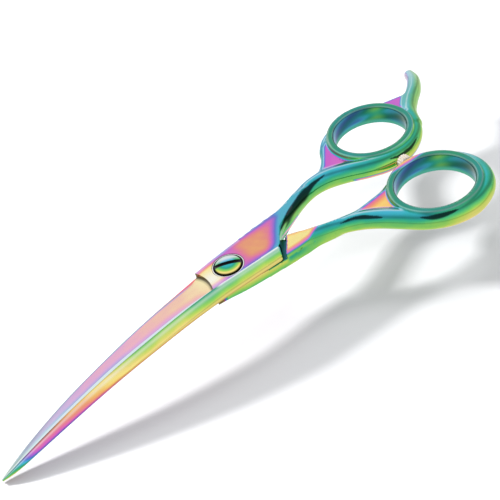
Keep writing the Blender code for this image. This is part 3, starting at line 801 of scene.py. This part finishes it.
def plain_material(name, colour, roughness, metallic=0.0, grain=1800.0, soft=0.0):
    """One colour with a fine grain in tone, gloss and height."""
    made, tree, place = new_material(name)
    grains = noise(tree, place, grain, 4.0, 0.55)
    tones = colour_ramp(tree, grains, [
        (0.3, tuple(c * (1 - TONE_SPREAD) for c in colour)),
        (0.7, tuple(min(1.0, c * (1 + TONE_SPREAD)) for c in colour))])
    gloss = node(tree, "MapRange", Value=grains, To_Min=roughness * 0.8, To_Max=roughness * 1.2)
    bump = node(tree, "Bump", Strength=0.2, Distance=0.00003, Height=grains)
    set_surface(tree, tones, gloss, bump, metallic)
    if soft:
        set_inputs(tree, tree.nodes["Principled BSDF"], Subsurface_Weight=soft,
                   Subsurface_Radius=(1.0, 0.7, 0.45), Subsurface_Scale=0.0012)
    return made


coat = coat_material("rainbow_coat", 0.12)
inner_coat = coat_material("rainbow_inner", 0.24)
screw_coat = coat_material("rainbow_screw", 0.10)
bright = plain_material("bright_steel", (0.82, 0.82, 0.80), 0.14, 1.0)
grey_steel = plain_material("ground_steel", (0.50, 0.51, 0.53), 0.32, 1.0)
# painted shade: near-black steel in the screw's slot and the cup's dish under the head, where shade
# falls
painted_shade_steel = plain_material("painted_shade_in_recesses", (0.035, 0.035, 0.04), 0.4, 0.6)
nylon = plain_material("natural_nylon", (0.83, 0.82, 0.77), 0.45)
silicone = plain_material("pale_silicone_skin", (0.46, 0.41, 0.35), 0.42, grain=900.0, soft=0.5)


# ------------ meshes

def add_object(name, data, materials=()):
    for material in materials:
        data.materials.append(material)
    obj = bpy.data.objects.new(name, data)
    bpy.context.scene.collection.objects.link(obj)
    return obj


def mesh_object(name, vertices, faces, materials):
    mesh = bpy.data.meshes.new(name)
    v = np.array(vertices, float)
    v[:, 2] += PART_Z
    mesh.from_pydata((v * MM).tolist(), [], [tuple(int(i) for i in f) for f in faces])
    mesh.update()
    return add_object(name, mesh, materials)


def bmesh_object(name, bm, materials, sharp):
    """An object from a bmesh, smooth except at edges sharper than an angle in degrees."""
    bmesh.ops.recalc_face_normals(bm, faces=bm.faces)
    mesh = bpy.data.meshes.new(name)
    bm.to_mesh(mesh)
    bm.free()
    mesh.shade_smooth()
    mesh.set_sharp_from_angle(angle=math.radians(sharp))
    return add_object(name, mesh, materials)


def read(items, field, width=1, kind=float):
    """One field of every item, as an array with a row for each item."""
    values = np.empty(len(items) * width, kind)
    items.foreach_get(field, values)
    return values.reshape(-1, width) if width > 1 else values


def give_coat(mesh, film, painted_highlight, shade, domain="POINT"):
    """Stores the three values that the coat's material reads."""
    for name, values in (("film", film), ("painted_highlight", painted_highlight), ("shade", shade)):
        layer = mesh.attributes.new(name, "FLOAT", domain)
        layer.data.foreach_set("value", np.asarray(values, np.float32))


def outward(mesh):
    """Merges doubles, drops faces of no area and turns every face outward."""
    bm = bmesh.new()
    bm.from_mesh(mesh)
    bmesh.ops.remove_doubles(bm, verts=bm.verts, dist=1e-7)
    bmesh.ops.dissolve_degenerate(bm, dist=1e-7, edges=bm.edges)
    bmesh.ops.recalc_face_normals(bm, faces=bm.faces)
    bm.to_mesh(mesh)
    bm.free()


def lathe(name, profile, steps, materials):
    """A closed turned body from (radius, height) points, heights from the origin plane."""
    bm = bmesh.new()
    rings = []
    for radius, height in profile:
        if radius < 1e-6:
            rings.append([bm.verts.new((0, 0, height * MM))])
        else:
            rings.append([bm.verts.new((radius * MM * math.cos(2 * math.pi * k / steps),
                                        radius * MM * math.sin(2 * math.pi * k / steps),
                                        height * MM)) for k in range(steps)])
    closed = profile[0][0] > 1e-6
    pairs = list(zip(rings, rings[1:])) + ([(rings[-1], rings[0])] if closed else [])
    for a, b in pairs:
        for k in range(steps):
            j = (k + 1) % steps
            if len(a) == 1:
                bm.faces.new((a[0], b[k], b[j]))
            elif len(b) == 1:
                bm.faces.new((a[k], a[j], b[0]))
            else:
                bm.faces.new((a[k], a[j], b[j], b[k]))
    return bmesh_object(name, bm, materials, 34)


def flat_ring(name, outer, inner, low, high, material):
    """A plain ring with a square section; heights from the meeting plane."""
    low, high = PART_Z + low, PART_Z + high
    return lathe(name, [(outer, high), (outer, low), (inner, low), (inner, high)], 64, [material])


def cut(obj, *cutters):
    """Cuts the cutters out of obj and leaves a plain mesh behind."""
    for cutter in cutters:
        step = obj.modifiers.new(cutter.name, "BOOLEAN")
        step.operation = "DIFFERENCE"
        step.solver = "EXACT"
        step.object = cutter
    bpy.context.view_layer.update()
    graph = bpy.context.evaluated_depsgraph_get()
    mesh = bpy.data.meshes.new_from_object(obj.evaluated_get(graph), preserve_all_data_layers=True,
                                           depsgraph=graph)
    obj.modifiers.clear()
    obj.data = mesh
    for cutter in cutters:
        bpy.data.objects.remove(cutter, do_unlink=True)


def cylinder(name, radius, low, high, steps, skin):
    """A cutter; heights from the meeting plane, and its skin stays on the cut's walls."""
    low, high = PART_Z + low, PART_Z + high
    made = lathe(name, [(0, high), (radius, high), (radius, low), (0, low)], steps, [skin])
    made.hide_render = True
    return made


def build_blade(half):
    """Blade and plate, with the pivot's holes."""
    vertices, faces, kinds = blade_mesh(half)
    blade = mesh_object(half["name"] + "_blade", vertices, faces, [coat, inner_coat])
    blade.data.attributes.new("kind", "INT", "FACE").data.foreach_set("value", kinds)
    outward(blade.data)
    if half["side"] > 0:
        cut(blade, cylinder("seat", SEAT_R, SEAT_FLOOR, BEYOND, 96, coat),
            cylinder("bore", BORE_R, -BEYOND, BEYOND, 64, inner_coat),
            cylinder("recess", RECESS_R, -BEYOND, RECESS_ROOF, 64, inner_coat))
    else:
        cut(blade, cylinder("bore", THREAD_R, -BEYOND, BEYOND, 64, inner_coat))
    paint_blade(blade.data, half)
    return blade


def build_handle(half):
    """The handle's field as a mesh, open where it meets the plate."""
    grip = mesh_object(half["name"] + "_handle", *polygonise(half, *half["box"]), [coat])
    mesh = grip.data
    bm = bmesh.new()
    bm.from_mesh(mesh)
    cap = [f for f in bm.faces if all(abs(c.co.x - SEAM_X * MM) < 2e-5 for c in f.verts)]
    bmesh.ops.delete(bm, geom=cap, context="FACES")
    bmesh.ops.recalc_face_normals(bm, faces=bm.faces)
    bm.to_mesh(mesh)
    bm.free()
    mesh.shade_smooth()
    mesh.set_sharp_from_angle(angle=math.radians(40))
    co = read(mesh.vertices, "co", 3) / MM - (0, 0, PART_Z)
    n = slope_at(half, co)
    give_coat(mesh, *handle_coat(half, co, n))
    # shading normals straight from the field; beside a crease, taken just inside each face
    corners = read(mesh.loops, "vertex_index", kind=int)
    normals = n[corners]
    creased = np.zeros(len(co), bool)
    for line in mesh.edges:
        if line.use_edge_sharp:
            creased[list(line.vertices)] = True
    middles = read(mesh.polygons, "center", 3) / MM - (0, 0, PART_Z)
    middles = np.repeat(middles, read(mesh.polygons, "loop_total", kind=int), axis=0)
    pick = creased[corners]
    normals[pick] = slope_at(half, 0.5 * co[corners][pick] + 0.5 * middles[pick])
    mesh.normals_split_custom_set(normals.tolist())
    return grip


def paint_blade(mesh, half):
    """Film, painted highlight and painted shade at each face corner, from the stretch the face belongs
    to.
    """
    side = half["side"]
    kinds = read(mesh.attributes["kind"].data, "value", kind=int)
    totals = read(mesh.polygons, "loop_total", kind=int)
    kind = np.repeat(kinds, totals)
    x, y, z = (read(mesh.vertices, "co", 3) / MM)[read(mesh.loops, "vertex_index", kind=int)].T
    own = side * y
    w = side * (z - PART_Z - bend(x)) - GAP
    spine, low_facet, high_facet, edge, thick = blade_lines(half, x)
    share_bevel = np.clip((edge - own) / np.maximum(edge - high_facet, 0.1), 0, 1)
    share_back = round_share(own, low_facet, spine)
    film = plate_film(half, x, own)
    film = np.where(kind == BEVEL, bevel_film(x, share_bevel), film)
    film = np.where(kind == FACET, 0.62 + 0.04 * wander(x, own, 0), film)
    film = np.where(kind == BACK, back_film(x, share_back), film)
    film = np.where(kind == INNER, 0.30 + 0.05 * wander(x * 0.7, own * 0.5, 1), film)
    at_heel = ramp(-x, 6.0, 7.8) * ramp(x, -10.2, -9.6)
    film = np.where(kind == WALL, wall_film(x, w) * (1 - at_heel) + 0.10 * at_heel, film)
    painted_rim_highlight = bell(edge + PLATE_LIP - own, 0.15, 0.2)
    # painted highlights: the facet nearly white, the bevel washed out, the plate's light patch and
    # edge line, the back's sheen
    painted_highlight = np.where(kind == FACET, 0.72, 0.0)
    painted_highlight = np.where(kind == PLAIN, np.maximum(plate_painted_highlight(x, own), 0.6 * painted_rim_highlight), painted_highlight)
    painted_highlight = np.where(kind == BACK, back_painted_highlight(x, share_back), painted_highlight)
    painted_highlight = np.where(kind == BEVEL, 0.34 + 0.26 * ramp(-x, 52, 84), painted_highlight)
    # painted reflection: a dark line between facet and back toward the tip; painted shade on the
    # cutting edge, the heel step's foot and its wall
    tip_painted_reflection = 0.92 * bell(share_back, 0, 0.12) * ramp(-x, 60, 74)
    shade = np.where(kind == BACK, np.maximum(back_shade(x, share_back), tip_painted_reflection), 0.0)
    edge_line = 0.30 * bell(share_bevel, 0, 0.06) * ramp(-x, 9, 20)
    straightened = x - HEEL_BOW * np.maximum(0, 1 - (own / HEEL_HALF) ** 2)
    heel_painted_shade = 0.84 * ramp(straightened, HEEL_X - 1.1, HEEL_X - 0.3)
    shade = np.where(kind == BEVEL, np.maximum(edge_line, heel_painted_shade), shade)
    shade = np.where(kind == PLAIN, plate_shade(x), shade)
    shade = np.where(kind == WALL, (0.55 + 0.25 * ramp(own, 2.0, 5.4)) * at_heel, shade)
    give_coat(mesh, film, painted_highlight, shade, "CORNER")
    mesh.polygons.foreach_set("use_smooth", kinds != FACET)
    mesh.set_sharp_from_angle(angle=math.radians(30))
    kinds_of = {}
    for polygon, owner in zip(mesh.polygons, kinds):
        for key in polygon.edge_keys:
            kinds_of.setdefault(key, set()).add(int(owner))
    for line in mesh.edges:
        if len(kinds_of.get(tuple(sorted(line.vertices)), ())) > 1:
            line.use_edge_sharp = True
    mesh.attributes.remove(mesh.attributes["kind"])


finger_blade, finger_grip = build_blade(FINGER), build_handle(FINGER)
thumb_blade, thumb_grip = build_blade(THUMB), build_handle(THUMB)

# ------------ pivot pieces

HEAD_R, HEAD_LOW, HEAD_TOP = 4.35, PART_Z + 2.85, PART_Z + 4.27
SHANK_R, STEM_R = 2.4, 1.9
SLOT_LONG, SLOT_WIDE, SLOT_DEEP, SLOT_TURN = 13.0, 1.55, 0.9, -27
rim_high = HEAD_LOW + 0.5
dome = [(HEAD_R * math.sin(a), rim_high + (HEAD_TOP - rim_high) * math.cos(a))
        for a in np.linspace(0, math.pi / 2 * 0.97, 30)]
screw = lathe("pivot_screw_head", dome + [
    (HEAD_R, rim_high - 0.05), (HEAD_R, HEAD_LOW + 0.2), (HEAD_R - 0.2, HEAD_LOW),
    (SHANK_R, HEAD_LOW), (SHANK_R, PART_Z - 0.1), (STEM_R, PART_Z - 0.25), (STEM_R, 0.25),
    (STEM_R - 0.25, 0.0), (0.0, 0.0)], 96, [screw_coat, painted_shade_steel])
slot_high = 2.0
bm = bmesh.new()
bmesh.ops.create_cube(bm, size=MM, matrix=Matrix.Rotation(math.radians(SLOT_TURN), 4, "Z")
                      @ Matrix.Diagonal((SLOT_LONG, SLOT_WIDE, slot_high, 1.0)))
slot_mesh = bpy.data.meshes.new("slot")
bm.to_mesh(slot_mesh)
bm.free()
slot = add_object("slot", slot_mesh, [painted_shade_steel])
slot.location = (0, 0, (HEAD_TOP - SLOT_DEEP + slot_high / 2) * MM)
slot.hide_render = True
cut(screw, slot)
x, y, _ = read(screw.data.vertices, "co", 3).T / MM
radial = np.hypot(x, y) / HEAD_R
across = (y * 0.92 + x * 0.38) / HEAD_R
film = 0.65 - 0.10 * across + 0.16 * ramp(radial, 0.4, 0.8)
film = film + 0.18 * ramp(radial, 0.75, 0.92) * ramp(-across, -0.2, 0.9)
# painted highlight on one side of the dome, and painted shade as a dark outline round the head's rim
painted_highlight = 0.72 * ramp(across, 0.15, 0.6) * (1 - ramp(radial, 0.9, 1.0))
give_coat(screw.data, film, painted_highlight, 0.92 * ramp(radial, 0.93, 0.985))
screw.data.set_sharp_from_angle(angle=math.radians(28))

cup_top = PART_Z + 3.22
cup = lathe("cup_washer", [
    (5.2, cup_top - 0.18), (5.14, cup_top - 0.06), (5.0, cup_top), (4.86, cup_top - 0.03),
    (4.62, HEAD_LOW + 0.05), (4.4, HEAD_LOW - 0.16), (4.0, HEAD_LOW - 0.24), (2.7, HEAD_LOW - 0.26),
    (2.7, PART_Z + 2.4), (5.2, PART_Z + 2.4)], 96, [bright, painted_shade_steel])
# the cup's inner dish, under the head, takes the near-black painted shade steel
for polygon in cup.data.polygons:
    if math.hypot(polygon.center.x, polygon.center.y) < 4.75 * MM:
        polygon.material_index = 1
spring = flat_ring("spring_washer", 4.8, 3.6, 1.8, 2.1, grey_steel)
bush = flat_ring("bush", 3.3, 2.7, 0.75, 1.5, nylon)
washer = flat_ring("ride_disc", 4.6, 2.7, 0.15, 0.45, nylon)

# ------------ bumper between the rings

PAD_R, FLUTES, FLUTE_DEEP, PER_FLUTE = 2.4, 16, 0.26, 8
PAD_X, PAD_Y, PAD_Z = 69.8, 0.3, PART_Z + 0.3


def fluted(name):
    """A fluted pad with a domed end; rows are heights along it and shares of its radius."""
    rows = [(0.3, 0.93), (0.42, 0.985), (0.6, 1.0), (2.3, 1.0), (2.62, 0.985), (2.86, 0.95),
            (3.04, 0.89), (3.16, 0.80), (3.23, 0.66), (3.25, 0.48)]
    count = FLUTES * PER_FLUTE
    bm = bmesh.new()
    rings = []
    for height, share in rows:
        ring = []
        for k in range(count):
            a = 2 * math.pi * k / count
            groove = (0.5 - 0.5 * math.cos(FLUTES * a)) ** 0.7 * min(1.0, share * 1.1 - 0.1)
            r = share * PAD_R - FLUTE_DEEP * groove
            ring.append(bm.verts.new((r * math.cos(a), r * math.sin(a), height)))
        rings.append(ring)
    for a, b in zip(rings, rings[1:]):
        for k in range(count):
            j = (k + 1) % count
            bm.faces.new((a[k], a[j], b[j], b[k]))
    for ring in (rings[0], rings[-1]):
        bm.faces.new(ring)
    place = Matrix.Translation((PAD_X * MM, PAD_Y * MM, PAD_Z * MM))
    bm.transform(place @ Matrix.Rotation(math.pi / 2, 4, "X") @ Matrix.Scale(MM, 4))
    return bmesh_object(name, bm, [silicone], 50)


pad = fluted("ring_bumper")

for obj, node_names, body, record_slot in (
        (finger_blade, ("finger_half",), "finger_half", "rainbow_coated_steel"),
        (finger_grip, ("finger_half",), "finger_half", "rainbow_coated_steel"),
        (thumb_blade, ("thumb_half",), "thumb_half", "rainbow_coated_steel"),
        (thumb_grip, ("thumb_half",), "thumb_half", "rainbow_coated_steel"),
        (screw, ("pivot_screw",), "pivot_screw", "rainbow_screw_steel"),
        (cup, ("screw_cup_washer",), "finger_half", "polished_steel"),
        (spring, ("tension_spring_washer",), "finger_half", "spring_steel"),
        (bush, ("pivot_bush",), "finger_half", "white_nylon"),
        (washer, ("ride_washer",), "finger_half", "white_nylon"),
        (pad, ("bumper_pad", "bumper_stud"), "finger_half", "pale_silicone")):
    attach(obj, body)
    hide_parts(*node_names)

# ------------ floor, light and camera

FLOOR_GAP = 0.0004
bpy.ops.mesh.primitive_plane_add(size=6.0, location=(0, 0, cad_low.z - FLOOR_GAP))
floor = bpy.context.object
floor.name = "floor"
pale_floor = bpy.data.materials.new("pale_floor")
pale_floor.use_nodes = True
set_inputs(pale_floor.node_tree, pale_floor.node_tree.nodes["Principled BSDF"],
           Base_Color=(0.62, 0.62, 0.63, 1), Roughness=0.55)
floor.data.materials.append(pale_floor)
floor.visible_glossy = False

world = bpy.data.worlds.new("studio")
bpy.context.scene.world = world
world.use_nodes = True
tree = world.node_tree
split = node(tree, "SeparateXYZ", Vector=node(tree, "TexCoord").outputs["Generated"])
height = node(tree, "MapRange", Value=split.outputs["Z"], From_Min=-1.0)
sky = colour_ramp(tree, height.outputs["Result"], [
    (0.0, (0.86, 0.87, 0.88)), (0.41, (0.84, 0.85, 0.86)), (0.49, (0.56, 0.58, 0.60)),
    (0.57, (0.93, 0.94, 0.95)), (0.80, (0.99, 1.0, 1.0)), (1.0, (0.92, 0.95, 1.0))])
set_inputs(tree, tree.nodes["Background"], Color=sky, Strength=1.0)


def lamp(name, at, aim, size_x, size_y, power):
    """A softbox that lights the piece but isn't mirrored in it."""
    data = bpy.data.lights.new(name, "AREA")
    data.shape = "RECTANGLE"
    data.size, data.size_y = size_x, size_y
    data.energy = power
    made = add_object(name, data)
    made.location = at
    made.rotation_euler = (Vector(aim) - Vector(at)).to_track_quat("-Z", "Y").to_euler()
    made.visible_glossy = False


lamp("key", (-0.30, 0.50, 0.42), (0, 0, 0), 0.10, 0.08, 8.0)
lamp("top", (0.25, 0.30, 0.60), (0.03, 0, 0), 0.30, 0.16, 1.2)

# the photograph's viewing angle
DISTANCE = 379.2917
azimuth, elevation, roll = (math.radians(a) for a in (-22.5829, 40.2387, -17.8735))
back = Vector((math.sin(azimuth) * math.cos(elevation), -math.cos(azimuth) * math.cos(elevation),
               math.sin(elevation)))
right = Vector((math.cos(azimuth), math.sin(azimuth), 0))
above = right.cross(-back)
rolled_right = math.cos(roll) * right + math.sin(roll) * above
rolled_above = -math.sin(roll) * right + math.cos(roll) * above
target = Vector((10.1985, 3.8899, PART_Z)) * MM
camera_data = bpy.data.cameras.new("photo_view")
camera_data.lens = 86.4
camera_data.sensor_width = 36.0
camera_data.clip_start = 0.01
camera = add_object("photo_view", camera_data)
turned = Matrix((rolled_right, rolled_above, back)).transposed()
camera.matrix_world = Matrix.Translation(target + back * DISTANCE * MM) @ turned.to_4x4()
bpy.context.scene.camera = camera
bpy.context.scene.view_settings.view_transform = "Standard"
